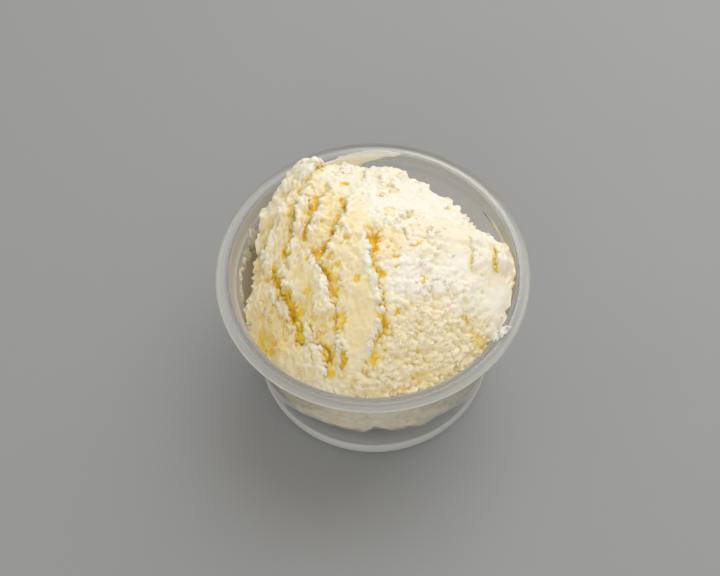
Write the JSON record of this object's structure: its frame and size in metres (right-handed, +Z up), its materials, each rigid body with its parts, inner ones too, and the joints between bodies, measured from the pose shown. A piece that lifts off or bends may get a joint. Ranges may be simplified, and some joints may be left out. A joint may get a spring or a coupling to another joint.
{
  "type": "bowl of kaymak",
  "caption": "Round clear plastic tub heaped above its rim with thick clotted cream in torn, overlapping folds.",
  "frame": {"origin": "middle of the surface that the tub stands on, on the tub's axis", "axes": "+Z up along the tub's axis, -Y towards the front, where the cream is pressed to the wall"},
  "size_m": [0.101, 0.101, 0.0776],
  "materials": {
    "tub": "clear, slightly milky moulded polypropylene",
    "kaymak": "thick clotted cream, near white on its crests and golden in its gullies"
  },
  "bodies": {
    "root": {"tub": "tub", "kaymak": "kaymak"}
  },
  "joints": []
}
